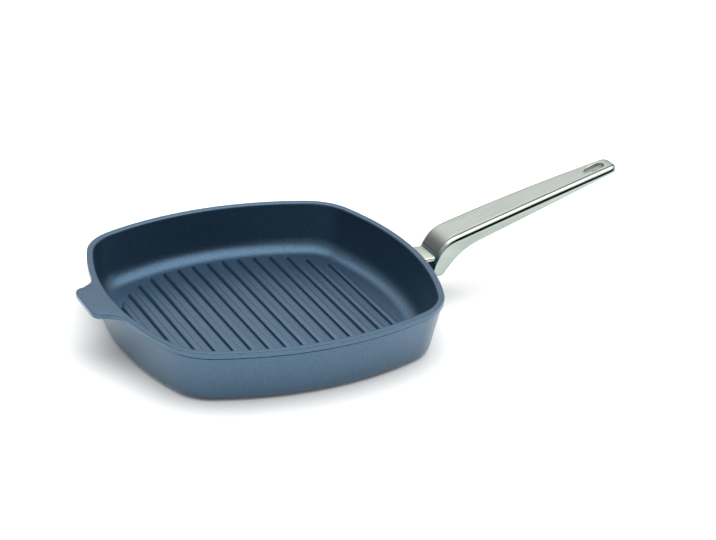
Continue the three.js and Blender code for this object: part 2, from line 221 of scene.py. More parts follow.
def sprayed_coating(name, shades, lacquer):
    # Shades of the speckle from dark to light, and the weight of the clear lacquer
    material, tree = new_finish(name)
    place = add_node(tree, "ShaderNodeTexCoord", {}).outputs["Object"]
    speckle = add_node(tree, "ShaderNodeTexNoise", {
        "Vector": place, "Scale": per_size(SPECKLE), "Detail": 2.0, "Roughness": 0.6})
    cloud = add_node(tree, "ShaderNodeTexNoise", {"Vector": place, "Scale": per_size(CLOUD), "Detail": 3.0})
    grit = add_node(tree, "ShaderNodeTexNoise", {"Vector": place, "Scale": per_size(GRIT), "Detail": 1.0})
    tint = add_node(tree, "ShaderNodeValToRGB", {"Fac": speckle.outputs["Fac"]})
    ramp_stops(tint.color_ramp, shade_stops(SPECKLE_STOPS, shades))
    sheen = add_node(tree, "ShaderNodeMapRange", {
        "Value": cloud.outputs["Fac"], "To Min": SATIN[0], "To Max": SATIN[1]})
    bump = add_node(tree, "ShaderNodeBump", {
        "Height": grit.outputs["Fac"], "Strength": GRIT_STRENGTH, "Distance": GRIT_DEPTH})
    finish_with(tree, add_node(tree, "ShaderNodeBsdfPrincipled", {
        "Base Color": tint.outputs["Color"], "Metallic": FLAKE, "Roughness": sheen.outputs["Result"],
        "Normal": bump.outputs["Normal"], "Coat Weight": lacquer, "Coat Roughness": CLEAR_HAZE}))
    print("Made", name)
    return material


# Silvery blue-grey outside, which takes up the white of the paper
coating = sprayed_coating("sprayed_outer_coating", ("#3f5b73", "#4a677f", "#56738c"), OUTER_LACQUER)
# Darker inside and on the tops of the rim and the tab, with less lacquer, so that it shines more softly
inner_coating = sprayed_coating("sprayed_nonstick_coating", ("#334c62", "#3f5a70", "#4b677e"), INNER_LACQUER)

# %% [markdown]
# The base is turned flat on a lathe after coating, so that it sits well on a hob. It shows bare aluminium
# with fine rings from the tool. Real rings are about 0.3 mm apart, so they are drawn coarser to be seen. All
# bare metals of the pan are built from the same layers, so one function makes them.

# %% Turned bare aluminium
TOOL_MARK = 1.6 * MM
TOOL_MARK_DEPTH = 0.05 * MM
TOOL_MARK_STRENGTH = 0.3
TOOL_GLOSS = (0.25, 0.42)
SMEAR = 30 * MM
METAL_STOPS = (0.3, 0.7)
# Rings per metre that a wave texture draws at a scale of 1
WAVE_LINES = 20 / (2 * math.pi)


def metal_layers(tree, patches, shades, marks, roughness, bump_strength, bump_depth):
    # Patches set the shade, and marks set the roughness and the bump
    tint = add_node(tree, "ShaderNodeValToRGB", {"Fac": patches})
    ramp_stops(tint.color_ramp, shade_stops(METAL_STOPS, shades))
    gloss = add_node(
        tree, "ShaderNodeMapRange", {"Value": marks, "To Min": roughness[0], "To Max": roughness[1]})
    bump = add_node(
        tree, "ShaderNodeBump", {"Height": marks, "Strength": bump_strength, "Distance": bump_depth})
    finish_with(tree, add_node(tree, "ShaderNodeBsdfPrincipled", {
        "Base Color": tint.outputs["Color"], "Metallic": 1.0, "Roughness": gloss.outputs["Result"],
        "Normal": bump.outputs["Normal"]}))


bare_base, tree = new_finish("turned_bare_aluminium")
place = add_node(tree, "ShaderNodeTexCoord", {}).outputs["Object"]
rings = add_node(
    tree, "ShaderNodeTexWave",
    {"Vector": place, "Scale": per_size(TOOL_MARK) / WAVE_LINES, "Distortion": 0.4, "Detail": 1.0},
    wave_type="RINGS", rings_direction="Z")
smear = add_node(tree, "ShaderNodeTexNoise", {"Vector": place, "Scale": per_size(SMEAR), "Detail": 4.0})
metal_layers(
    tree, smear.outputs["Fac"], ("#b4b6b8", "#cfd1d2"), rings.outputs["Fac"], TOOL_GLOSS,
    TOOL_MARK_STRENGTH, TOOL_MARK_DEPTH)
print("Made", bare_base.name)

# %% [markdown]
# The handle is cast stainless steel. Its top is brushed along its length, and its edges and flanks are
# polished. The narrow step beside the top and the space under the hood are left as they came from the mould.
# Their steel is given a dark colour, which is painted shade for the step and the hollow.
# Brushing is a noise that is stretched a long way in one direction, which scatters the light across the
# strokes.

# %% Stainless steel finishes
BRUSH_WIDTH = 0.5 * MM
BRUSH_LENGTH = 40 * MM
POLISH_MARK = 8 * MM
BLAST_GRAIN = 0.9 * MM
ZINC_GRAIN = 1.5 * MM
BLUED_GRAIN = 1.2 * MM
MARK_STRENGTH = 0.25


def steel_finish(name, shades, grain, roughness, bump_depth):
    # Grain is the size of the marks along X, Y and Z, and roughness is its least and greatest value
    material, tree = new_finish(name)
    place = add_node(tree, "ShaderNodeTexCoord", {}).outputs["Object"]
    stretched = add_node(
        tree, "ShaderNodeMapping", {"Vector": place, "Scale": [per_size(size) for size in grain]})
    marks = add_node(
        tree, "ShaderNodeTexNoise", {"Vector": stretched.outputs["Vector"], "Scale": 1.0, "Detail": 3.0})
    grey = marks.outputs["Fac"]
    metal_layers(tree, grey, shades, grey, roughness, MARK_STRENGTH, bump_depth)
    print("Made", name)
    return material


# Soft even gloss with fine strokes along the grip
brushed_steel = steel_finish(
    "brushed_stainless_steel", ("#969b96", "#acb1ac"), (BRUSH_LENGTH, BRUSH_WIDTH, BRUSH_LENGTH),
    roughness=(0.26, 0.4), bump_depth=0.03 * MM)
# Near mirror with a slight haze, so it shows crisp bright and dark bands
polished_steel = steel_finish(
    "polished_stainless_steel", ("#a5aea8", "#b0bbb5"), (BRUSH_LENGTH, POLISH_MARK, POLISH_MARK),
    roughness=(0.07, 0.13), bump_depth=0.01 * MM)
# Dull and grainy, as shot-blasted castings are.
# Its dark colour is painted shade for the step beside the top and the hollow under the hood
cast_steel_painted_shade = steel_finish(
    "blasted_steel_painted_shade", ("#4c4f4d", "#6c6f6d"), [BLAST_GRAIN] * 3,
    roughness=(0.45, 0.6), bump_depth=0.08 * MM)
# Rolled plate, brushed across, with a faint straw tint from heat
guard_steel = steel_finish(
    "brushed_stainless_plate", ("#adb6ab", "#bfc8bd"), (BRUSH_WIDTH, BRUSH_LENGTH, BRUSH_LENGTH),
    roughness=(0.25, 0.38), bump_depth=0.03 * MM)
# Zinc-plated steel of the screw, with a faint bluish film
screw_steel = steel_finish(
    "zinc_plated_screw_steel", ("#9aa0a6", "#b9bec3"), [ZINC_GRAIN] * 3,
    roughness=(0.25, 0.4), bump_depth=0.02 * MM)
# Blued spring steel of the washer, dark and slightly oily
washer_steel = steel_finish(
    "blued_spring_steel", ("#5a5f66", "#7d838a"), [BLUED_GRAIN] * 3,
    roughness=(0.3, 0.45), bump_depth=0.03 * MM)

# %% [markdown]
# The casting is the same section all round: a flat base, a round lower edge, a leaning wall, a bead, a
# narrow rim and a wide inner fillet down to the floor. So one half section is drawn as a wire at the side
# that carries the handle, from the base to the floor.

# %% Section of the casting
pan_low, pan_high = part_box("pan_body")
RIM_HALF = pan_high.y
RIM_TOP = pan_high.z
RIM_LAND = 5.7 * MM
RIM_EDGE = 0.6 * MM
RIM_ROUND = 1.7 * MM
BEAD_HEIGHT = 5 * MM
BEAD_STEP = 1.4 * MM
BEAD_ROUND = 0.6 * MM
GROOVE_HEIGHT = 1.2 * MM
GROOVE_DEPTH = 0.8 * MM
BASE_INSET = 18.4 * MM
BASE_FILLET = 9 * MM
FLOOR_INSET = 24.9 * MM
FLOOR_FILLET = 15.2 * MM
FLOOR_TOP = 5 * MM
FLAT_MARGIN = 0.4 * MM
TAB_BOTTOM = RIM_TOP - BEAD_HEIGHT + BEAD_ROUND
TAB_TOP = RIM_TOP - RIM_EDGE
BOSS_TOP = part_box("heat_guard")[0].z
BOSS_ROOT_DEPTH = 11.6 * MM
BASE_STEPS = 10
EDGE_STEPS = 4
RIM_STEPS = 6
FILLET_STEPS = 14
QUARTER_TURN = math.pi / 2
# Turning about this axis runs from +X to +Z
ALONG_Y = Vector((0, -1, 0))


def at(inset, z):
    return Vector((RIM_HALF - inset, 0, z))


def tangent_angle(centre, radius, outside):
    # Direction of the radius whose tangent runs from the circle up to a point outside it
    gap = outside - centre
    return math.atan2(gap.z, gap.x) - math.acos(radius / gap.length)


shell = bmesh.new()
inside = shell.verts.layers.int.new("inside")
pen = shell.verts.new(at(BASE_INSET + FLAT_MARGIN, 0))
pen = stroke(shell, pen, at(BASE_INSET, 0))
base_centre = at(BASE_INSET, BASE_FILLET)
bead_foot = at(BEAD_STEP, RIM_TOP - BEAD_HEIGHT)
lean = tangent_angle(base_centre, BASE_FILLET, bead_foot)
pen = arc(shell, pen, base_centre, ALONG_Y, QUARTER_TURN + lean, BASE_STEPS)
wall_foot = pen.co.copy()
for height in (BOSS_TOP - BOSS_ROOT_DEPTH, BOSS_TOP):
    share = (height - wall_foot.z) / (bead_foot.z - wall_foot.z)
    pen = stroke(shell, pen, wall_foot.lerp(bead_foot, share))
groove_foot = wall_foot.lerp(bead_foot, 1 - GROOVE_HEIGHT / (bead_foot.z - wall_foot.z))
pen = stroke(shell, pen, groove_foot)
pen = stroke(shell, pen, groove_foot + Vector((-GROOVE_DEPTH, 0, GROOVE_HEIGHT / 4)))
pen = stroke(shell, pen, at(BEAD_STEP + GROOVE_DEPTH, bead_foot.z))
pen = stroke(shell, pen, at(BEAD_ROUND, bead_foot.z))
pen = arc(shell, pen, at(BEAD_ROUND, TAB_BOTTOM), ALONG_Y, QUARTER_TURN, EDGE_STEPS)
pen = stroke(shell, pen, at(0, TAB_TOP))
pen = arc(shell, pen, at(RIM_EDGE, TAB_TOP), ALONG_Y, QUARTER_TURN, EDGE_STEPS)
pen = stroke(shell, pen, at(RIM_LAND - RIM_ROUND, RIM_TOP))
pen = arc(shell, pen, at(RIM_LAND - RIM_ROUND, RIM_TOP - RIM_ROUND), ALONG_Y, QUARTER_TURN, RIM_STEPS)
pen[inside] = 1
floor_centre = at(FLOOR_INSET, FLOOR_TOP + FLOOR_FILLET)
inner_lean = tangent_angle(floor_centre, FLOOR_FILLET, pen.co)
inner_foot = floor_centre + FLOOR_FILLET * Vector((math.cos(inner_lean), 0, math.sin(inner_lean)))
pen = stroke(shell, pen, inner_foot)
pen = arc(shell, pen, floor_centre, -ALONG_Y, QUARTER_TURN + inner_lean, FILLET_STEPS)
pen = stroke(shell, pen, at(FLOOR_INSET + FLAT_MARGIN, FLOOR_TOP))
print("Section drawn with", len(shell.verts), "points")

# %% [markdown]
# In plan the pan is a square with bulging sides and round corners, which is eight arcs that run into each
# other. Spinning the section about each arc's centre in turn gives the whole wall with true round corners.
# Scaling copies of one ring would be quicker, but would make the wall thick at the corners.

# %% Spin the section round the square
SIDE_RADIUS = 262 * MM
CORNER_RADIUS = 50 * MM
SIDE_STEPS = 48
CORNER_STEPS = 24
side_centre = RIM_HALF - SIDE_RADIUS
reach = SIDE_RADIUS - CORNER_RADIUS
corner_centre = (side_centre + math.sqrt(2 * reach ** 2 - side_centre ** 2)) / 2
half_side = math.atan2(corner_centre, corner_centre - side_centre)
swept = shell.verts[:] + shell.edges[:]
for quarter in range(4):
    facing = Matrix.Rotation(quarter * QUARTER_TURN, 3, "Z")
    legs = [
        (Vector((side_centre, 0, 0)), half_side, SIDE_STEPS),
        (Vector((corner_centre, corner_centre, 0)), QUARTER_TURN - 2 * half_side, CORNER_STEPS),
        (Vector((0, side_centre, 0)), half_side, SIDE_STEPS),
    ]
    for centre, angle, steps in legs:
        spun = bmesh.ops.spin(
            shell, geom=swept, cent=facing @ centre, axis=(0, 0, 1), angle=angle, steps=steps)
        swept = spun["geom_last"]
bmesh.ops.remove_doubles(shell, verts=shell.verts[:], dist=WELD)
close_holes(shell)
BASE_INDEX = 1
INSIDE_INDEX = 2
for face in shell.faces:
    if all(vert[inside] for vert in face.verts):
        face.material_index = INSIDE_INDEX
    elif all(vert.co.z < WELD for vert in face.verts):
        face.material_index = BASE_INDEX
print("Wall, base and floor:", len(shell.faces), "faces")

# %% [markdown]
# The helper tab grows out of the bead. The bead's outer faces on that side are extruded, and the new edge is
# then laid on the tab's outline: a round tip, short sides and a hollow curve back into the rim. This keeps
# one clean skin, where a joined plate would leave a seam. The tops of the tab and the rim are sprayed
# together with the inside.

# %% Helper tab
TAB_TIP = pan_low.x
TAB_TIP_HALF = 27 * MM
TAB_NECK = 7 * MM
TAB_NECK_HALF = 29 * MM
TAB_ROOT_HALF = 42 * MM
TAB_CORNER = 11 * MM
TAB_FLARE = 2 * MM
TAB_EDGE = 0.8 * MM
# Shares of the half outline at which the tip, its corner and the side end
TIP_SHARE = 0.3
CORNER_SHARE = 0.55
SIDE_SHARE = 0.65
TAB_EDGE_STEPS = 4
# Share of the half outline over which the tab fades into the rim
TAB_FADE = 0.12
# A face looks along an axis when its normal has more than this of it
FACING = 0.5
# Short way along a curve, over which its direction is read
NEAR = 0.01


def bend(start, control, end, t):
    return start.lerp(control, t).lerp(control.lerp(end, t), t)


def share_of(t, low, high):
    return (t - low) / (high - low)


def tab_outline(t, root_half):
    # Half of the outline, from the middle of the tip at 0 to the rim at 1
    tip = Vector((TAB_TIP, TAB_TIP_HALF))
    tip_end = tip - Vector((0, TAB_CORNER))
    side_start = tip + Vector((TAB_CORNER, 0))
    neck = Vector((-RIM_HALF - TAB_NECK, TAB_NECK_HALF))
    flare = Vector((-RIM_HALF, TAB_NECK_HALF + TAB_FLARE))
    root = Vector((-side_centre - math.sqrt(SIDE_RADIUS ** 2 - root_half ** 2), root_half))
    if t < TIP_SHARE:
        return Vector((TAB_TIP, 0)).lerp(tip_end, t / TIP_SHARE)
    if t < CORNER_SHARE:
        return bend(tip_end, tip, side_start, share_of(t, TIP_SHARE, CORNER_SHARE))
    if t < SIDE_SHARE:
        return side_start.lerp(neck, share_of(t, CORNER_SHARE, SIDE_SHARE))
    return bend(neck, flare, root, share_of(t, SIDE_SHARE, 1))


def on_tab_side(face):
    middle = face.calc_center_median()
    outward = middle.x < 0 and abs(middle.y) < TAB_ROOT_HALF
    return outward and TAB_BOTTOM < middle.z < TAB_TOP and face.normal.x < -FACING


def tab_fill(t):
    # How far the rim's outer rounding is filled up, so that the tab runs flush into the rim
    return min(1, (1 - t) / TAB_FADE)


def on_rim_edge(place, root_half):
    from_middle = math.hypot(place.x + side_centre, place.y)
    outside = place.x < 0 and from_middle > SIDE_RADIUS - RIM_EDGE - WELD
    return outside and abs(place.y) <= root_half and place.z > TAB_TOP - WELD


def extrude_faces(bm, faces):
    grown = bmesh.ops.extrude_face_region(bm, geom=faces)["geom"]
    bmesh.ops.delete(bm, geom=faces, context="FACES")
    return only(BMFace, grown), only(BMVert, grown)


bmesh.ops.recalc_face_normals(shell, faces=shell.faces[:])
tab_share = shell.verts.layers.float.new("tab_share")
tab_faces = [face for face in shell.faces if on_tab_side(face)]
bead_verts = {vert for face in tab_faces for vert in face.verts}
tab_root_half = max(abs(vert.co.y) for vert in bead_verts)
for vert in bead_verts:
    vert[tab_share] = vert.co.y / tab_root_half
for vert in shell.verts:
    if on_rim_edge(vert.co, tab_root_half):
        vert.co.z += (RIM_TOP - vert.co.z) * tab_fill(abs(vert.co.y) / tab_root_half)
for step in range(TAB_EDGE_STEPS + 1):
    turn = step / TAB_EDGE_STEPS * QUARTER_TURN
    tab_faces, tab_verts = extrude_faces(shell, tab_faces)
    for vert in tab_verts:
        t = abs(vert[tab_share])
        place = tab_outline(t, tab_root_half)
        along = tab_outline(min(1, t + NEAR), tab_root_half) - tab_outline(max(0, t - NEAR), tab_root_half)
        edge = TAB_EDGE * tab_fill(t)
        place += Vector((along.y, -along.x)).normalized() * edge * (1 - math.sin(turn))
        is_top = vert.co.z > (TAB_TOP + TAB_BOTTOM) / 2
        rounding = edge * (1 - math.cos(turn))
        flush = TAB_TOP + RIM_EDGE * tab_fill(t)
        height = flush - rounding if is_top else TAB_BOTTOM + rounding
        vert.co = (place.x, math.copysign(place.y, vert[tab_share]), height)
bmesh.ops.remove_doubles(shell, verts=shell.verts[:], dist=WELD)
shell.normal_update()
for face in shell.faces:
    if face.normal.z > FACING and face.calc_center_median().z > TAB_BOTTOM:
        face.material_index = INSIDE_INDEX
print("Tab grown from", len(bead_verts), "points of the bead")

# %% [markdown]
# The boss that carries the handle grows out of the wall in the same way, in two steps: a deep root, and a
# thinner end whose underside runs up. Its top stays level, because the heat guard lies on it.

# %% Handle boss
BOSS_HALF = 9.2 * MM
BOSS_BREAK = 163 * MM
BOSS_BREAK_BOTTOM = BOSS_TOP - 9 * MM
BOSS_END = pan_high.x
BOSS_END_BOTTOM = BOSS_TOP - 3 * MM
BOSS_EDGE = 1 * MM


def on_boss_root(face):
    middle = face.calc_center_median()
    beside = abs(middle.y) < BOSS_HALF and middle.x > RIM_HALF - BASE_INSET
    return beside and BOSS_TOP - BOSS_ROOT_DEPTH < middle.z < BOSS_TOP and face.normal.x > FACING


bmesh.ops.recalc_face_normals(shell, faces=shell.faces[:])
boss_faces = [face for face in shell.faces if on_boss_root(face)]
boss_verts = set()
for end, bottom in ((BOSS_BREAK, BOSS_BREAK_BOTTOM), (BOSS_END, BOSS_END_BOTTOM)):
    boss_faces, ring = extrude_faces(shell, boss_faces)
    lowest = min(vert.co.z for vert in ring)
    widest = max(abs(vert.co.y) for vert in ring)
    for vert in ring:
        is_low = vert.co.z - lowest < WELD
        vert.co = (end, vert.co.y * BOSS_HALF / widest, bottom if is_low else BOSS_TOP)
    boss_verts.update(ring)
boss_edges = [
    edge for edge in shell.edges
    if all(vert in boss_verts for vert in edge.verts) and edge.calc_face_angle(0) > SMOOTH_ANGLE
]
bmesh.ops.bevel(
    shell, geom=boss_edges, offset=BOSS_EDGE, affect="EDGES", segments=3, profile=0.5, material=-1)
print("Boss with", len(boss_edges), "rounded edges")

# %% [markdown]
# The floor is one flat face. Planes cut it along both feet of every rib and slantwise across the rib's ends,
# so each rib starts as a long face in the floor. A row of small insets then lifts it: first a hollow curve
# out of the floor, then the steep side, then the round shoulder. The ribs end on a rounded square field.

# %% Grill ribs
RIB_COUNT = 15
RIB_PITCH = 14.3 * MM
RIB_SHIFT = -1 * MM
RIB_HEIGHT = 3 * MM
RIB_TOP_HALF = 3 * MM
RIB_SIDE_ANGLE = math.radians(76)
RIB_FOOT_ROUND = 0.6 * MM
RIB_SHOULDER = 2.4 * MM
RIB_FOOT_STEPS = 3
RIB_SHOULDER_STEPS = 5
# Steepest slant of a rib's end, as rise over run
STEEPEST_END = 2
SLICE_SNAP = 0.001 * MM
FIELD_GUTTER = 0.8 * MM
FIELD_HALF = RIM_HALF - FLOOR_INSET - FIELD_GUTTER
FIELD_SIDE_RADIUS = SIDE_RADIUS - FLOOR_INSET
FIELD_CORNER = 90 * MM


def field_end(x):
    # Half length of the rib field at a place across it
    centre = FIELD_HALF - FIELD_SIDE_RADIUS
    span = FIELD_SIDE_RADIUS - FIELD_CORNER
    corner = (centre + math.sqrt(2 * span ** 2 - centre ** 2)) / 2
    turn = math.atan2(corner, corner - centre)
    if abs(x) < FIELD_SIDE_RADIUS * math.sin(turn):
        return centre + math.sqrt(FIELD_SIDE_RADIUS ** 2 - x ** 2)
    if abs(x) < corner + FIELD_CORNER * math.cos(turn):
        return corner + math.sqrt(FIELD_CORNER ** 2 - (abs(x) - corner) ** 2)
    return math.sqrt(FIELD_SIDE_RADIUS ** 2 - (abs(x) - centre) ** 2)


def slice_faces(bm, faces, place, normal):
    geometry = faces + list({edge for face in faces for edge in face.edges})
    geometry += list({vert for face in faces for vert in face.verts})
    done = bmesh.ops.bisect_plane(bm, geom=geometry, dist=SLICE_SNAP, plane_co=place, plane_no=normal)
    return only(BMFace, done["geom"])


def rib_steps():
    # Inset and lift of each step up the rib's side
    side = RIB_SIDE_ANGLE
    rounds = (RIB_FOOT_ROUND + RIB_SHOULDER) * (1 - math.cos(side))
    straight = RIB_HEIGHT - rounds
    steps = []
    for i in range(RIB_FOOT_STEPS):
        angle = (i + 0.5) * side / RIB_FOOT_STEPS
        steps.append((RIB_FOOT_ROUND * side / RIB_FOOT_STEPS, angle))
    steps.append((straight / math.sin(side), side))
    for i in range(RIB_SHOULDER_STEPS):
        angle = side - (i + 0.5) * side / RIB_SHOULDER_STEPS
        steps.append((RIB_SHOULDER * side / RIB_SHOULDER_STEPS, angle))
    return [(length * math.cos(angle), length * math.sin(angle)) for length, angle in steps]


flat_tops = [face for face in shell.faces if abs(face.calc_center_median().z - FLOOR_TOP) < WELD]
floor = [max(flat_tops, key=lambda face: face.calc_area())]
climb = RIB_HEIGHT / math.tan(RIB_SIDE_ANGLE)
foot_half = RIB_TOP_HALF + climb + RIB_FOOT_ROUND * math.tan(RIB_SIDE_ANGLE / 2)
rib_faces = []
for number in range(RIB_COUNT):
    middle = RIB_SHIFT + (number - (RIB_COUNT - 1) / 2) * RIB_PITCH
    for edge_x in (middle - foot_half, middle + foot_half):
        floor = slice_faces(shell, floor, Vector((edge_x, 0, FLOOR_TOP)), Vector((1, 0, 0)))
    strips = [face for face in floor if abs(face.calc_center_bounds().x - middle) < RIB_TOP_HALF]
    slant = (field_end(middle + foot_half) - field_end(middle - foot_half)) / 2
    slant = max(-STEEPEST_END * foot_half, min(STEEPEST_END * foot_half, slant))
    for mirror in (1, -1):
        end = Vector((middle, mirror * field_end(middle), FLOOR_TOP))
        along = Vector((foot_half, mirror * slant, 0))
        strips = slice_faces(shell, strips, end, along.cross(Vector((0, 0, 1))))
    rib_faces.append(max(strips, key=lambda face: face.calc_area()))
    floor = [face for face in floor if face.is_valid and face not in rib_faces]
for thickness, depth in rib_steps():
    bmesh.ops.inset_individual(
        shell, faces=rib_faces, thickness=thickness, depth=depth, use_even_offset=True)
print("Ribs:", len(rib_faces), "at", round(RIB_PITCH / MM, 1), "mm")

# %% [markdown]
# The body is now one closed skin. The last two cuts are for the handle screw: a bore through the boss and a
# flat spot face under it. A boolean suits these, because they are drilled on the real casting too.

# %% Finish the body
SCREW_X = 166 * MM
BORE_RADIUS = 3.3 * MM
SPOT_FACE_RADIUS = 6 * MM
SPOT_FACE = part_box("split_washer")[1].z
OVERCUT = 1 * MM
ROD_SEGMENTS = 64


def rod(radius, bottom, top, segments=ROD_SEGMENTS):
    # An upright rod on the axis of the screw
    bm = bmesh.new()
    bmesh.ops.create_cone(
        bm, cap_ends=True, segments=segments, radius1=radius, radius2=radius, depth=top - bottom)
    bmesh.ops.translate(bm, verts=bm.verts[:], vec=(SCREW_X, 0, (top + bottom) / 2))
    return bm


def as_tool(bm, index=0):
    # The cut surface takes the finish of that index
    for face in bm.faces:
        face.material_index = index
    mesh = bpy.data.meshes.new("tool")
    bmesh.ops.recalc_face_normals(bm, faces=bm.faces[:])
    bm.to_mesh(mesh)
    bm.free()
    tool = bpy.data.objects.new("tool", mesh)
    bpy.context.scene.collection.objects.link(tool)
    return tool


pan_body = make_piece(
    "pan_body_casting", shell, [coating, bare_base, inner_coating], "coated_aluminium", "pan_body")
below_boss = BOSS_TOP - 2 * BOSS_ROOT_DEPTH
cut(pan_body, as_tool(rod(SPOT_FACE_RADIUS, below_boss, SPOT_FACE)))
cut(pan_body, as_tool(rod(BORE_RADIUS, below_boss, BOSS_TOP + OVERCUT)))

# %% [markdown]
# The handle is a steel casting. Seen from the side it has an upper edge, from the toe of the cheeks over the
# nose to the tip, and a lower edge under it. A ring is stretched between the two at every station and swept
# along by extruding it. Because the rings fan out round the nose, its bevel runs round the hood unbroken.

# %% Side view of the handle
handle_low, handle_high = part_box("handle")
HOOD_FRONT = RIM_HALF + 16.6 * MM
GRIP_START = HOOD_FRONT + 20.2 * MM
GRIP_END = GRIP_START + 154.5 * MM
NOSE_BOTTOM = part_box("heat_guard")[1].z + 1.4 * MM
BROW_HEIGHT = NOSE_BOTTOM + 17.3 * MM
GRIP_CROWN = 2 * MM
GRIP_TIP_DEPTH = 7.6 * MM
GRIP_ROOT_DEPTH = 17 * MM
NOSE_LEAN = math.radians(28)
NOSE_PULL = 8.6 * MM
CHIN_PULL = 8 * MM
BROW_PULL = 13 * MM
HEEL_LENGTH = 10.8 * MM
HEEL_SWEEP = 2.5 * MM
KNEE_LENGTH = 12 * MM
HAUNCH_LENGTH = 38.6 * MM
TOE_HEIGHT = 2.2 * MM
SWEEP_UNDER_BROW = 0.72


def curve4(a, b, c, d, t):
    return bend(a, b, c, t).lerp(bend(b, c, d, t), t)


toe = Vector((handle_low.x, handle_low.z + TOE_HEIGHT))
lip = Vector((HOOD_FRONT, NOSE_BOTTOM))
brow = Vector((GRIP_START, BROW_HEIGHT))
grip_end = Vector((GRIP_END, handle_high.z))
grip_middle = (brow + grip_end) / 2 + Vector((0, GRIP_CROWN))
grip_tip = Vector((handle_high.x, handle_high.z - GRIP_TIP_DEPTH / 2))
nose_slope = Vector((math.sin(NOSE_LEAN), math.cos(NOSE_LEAN)))
chin = lip - nose_slope * CHIN_PULL
rise = lip + nose_slope * NOSE_PULL
shoulder = brow - (grip_middle - brow).normalized() * BROW_PULL
toe_under = Vector((toe.x, handle_low.z))
heel = toe_under + Vector((HEEL_LENGTH, 0))
ankle = heel + Vector((HEEL_SWEEP, 0))
grip_share = (HOOD_FRONT + HAUNCH_LENGTH - GRIP_START) / (GRIP_END - GRIP_START)
haunch = bend(brow, grip_middle, grip_end, grip_share) - Vector((0, GRIP_ROOT_DEPTH))
under_end = grip_end - Vector((0, GRIP_TIP_DEPTH))
knee = haunch.lerp(under_end, (heel.x + KNEE_LENGTH - haunch.x) / (under_end.x - haunch.x))


def cheek_station(t):
    return bend(toe, chin, lip, t), toe_under.lerp(heel, t)


def nose_station(t):
    return curve4(lip, rise, shoulder, brow, t), curve4(heel, ankle, knee, haunch, t * SWEEP_UNDER_BROW)


def grip_station(t):
    upper = bend(brow, grip_middle, grip_end, t)
    under_brow = curve4(heel, ankle, knee, haunch, SWEEP_UNDER_BROW)
    x = upper.x + (under_brow.x - brow.x) * (1 - t)
    if x < haunch.x:
        along = SWEEP_UNDER_BROW + (1 - SWEEP_UNDER_BROW) * (x - under_brow.x) / (haunch.x - under_brow.x)
        return upper, curve4(heel, ankle, knee, haunch, along)
    return upper, haunch.lerp(under_end, (x - haunch.x) / (under_end.x - haunch.x))


def tip_station(t):
    over = bend(grip_end, Vector((grip_tip.x, grip_end.y)), grip_tip, t)
    return over, bend(under_end, Vector((grip_tip.x, under_end.y)), grip_tip, t)


CHEEK_STEPS = 8
NOSE_STEPS = 16
GRIP_STEPS = 40
TIP_STEPS = 8
# The tip is filled with a small flat face just before its two edges would meet
TIP_CLOSED = 0.9
stations = [cheek_station(i / CHEEK_STEPS) for i in range(CHEEK_STEPS)]
stations += [nose_station(i / NOSE_STEPS) for i in range(NOSE_STEPS)]
stations += [grip_station(i / GRIP_STEPS) for i in range(GRIP_STEPS)]
stations += [tip_station(TIP_CLOSED * math.sin(i / TIP_STEPS * QUARTER_TURN)) for i in range(TIP_STEPS + 1)]
print("Handle drawn with", len(stations), "stations")

# %% [markdown]
# In section the grip has a flat top, a narrow unpolished step, and then one broad round edge that rolls over
# into the flank. Towards the hood the step fades and the round edge turns into a flat chamfer, which frames
# the nose. The section is walked from the middle of the top to the middle of the underside, and the other
# half is its mirror image.

# %% Sweep the handle
HOOD_HALF = handle_high.y
TIP_HALF = 11.2 * MM
TIP_CORNER = 7 * MM
GRIP_BOW = 1.2 * MM
EDGE_ROUND = 5.9 * MM
CHEEK_ROUND = 1.2 * MM
CHAMFER = 4 * MM
CHAMFER_SHARE = 0.4
EDGE_ANGLE = math.radians(60)
EDGE_SHARE = 0.66
STEP_WIDTH = 1.6 * MM
STEP_DEPTH = 0.7 * MM
UNDER_ROUND = 4 * MM
UNDER_SHARE = 0.3
FLANK_SLOPE = 0.17
ROUND_EDGE_STEPS = 10
UNDER_STEPS = 6


def handle_half_width(x):
    along = max(0, (x - GRIP_START) / (handle_high.x - GRIP_START))
    past = max(0, x - (handle_high.x - TIP_CORNER))
    straight = HOOD_HALF + (TIP_HALF - HOOD_HALF) * along + GRIP_BOW * 4 * along * (1 - along)
    return straight - TIP_CORNER + math.sqrt(max(0, TIP_CORNER ** 2 - past ** 2))


def handle_section(half, height, lean, onto_grip):
    round_edge = CHEEK_ROUND + (EDGE_ROUND - CHEEK_ROUND) * onto_grip
    edge = min(round_edge, EDGE_SHARE * height / math.sin(EDGE_ANGLE), half)
    under = min(UNDER_ROUND, UNDER_SHARE * height)
    slope = Vector((math.sin(EDGE_ANGLE), -math.cos(EDGE_ANGLE)))
    chamfer = min(CHAMFER, CHAMFER_SHARE * height) * (1 - onto_grip) * slope
    step = onto_grip * Vector((STEP_WIDTH, -STEP_DEPTH))
    edge_y = half - edge
    brim = Vector((edge_y + edge * math.cos(EDGE_ANGLE), height + step.y)) - Vector((chamfer.x, 0))
    edge_z = brim.y + chamfer.y - edge * math.sin(EDGE_ANGLE)
    flat = brim.x - step.x
    walk = [Vector((flat * share, height)) for share in (0.5, 0.9, 1)]
    walk += [brim, brim + chamfer / 2]
    for i in range(ROUND_EDGE_STEPS + 1):
        turn = EDGE_ANGLE * (1 - i / ROUND_EDGE_STEPS)
        walk.append(Vector((edge_y + edge * math.cos(turn), edge_z + edge * math.sin(turn))))
    flank_top = walk[-1]
    flank_foot = Vector((half - lean, under))
    walk += [flank_top.lerp(flank_foot, share) for share in (0.33, 0.67)]
    for i in range(UNDER_STEPS + 1):
        turn = -QUARTER_TURN * i / UNDER_STEPS
        walk.append(Vector((half - lean - under + under * math.cos(turn), under + under * math.sin(turn))))
    walk.append(Vector(((half - lean - under) / 2, 0)))
    return walk


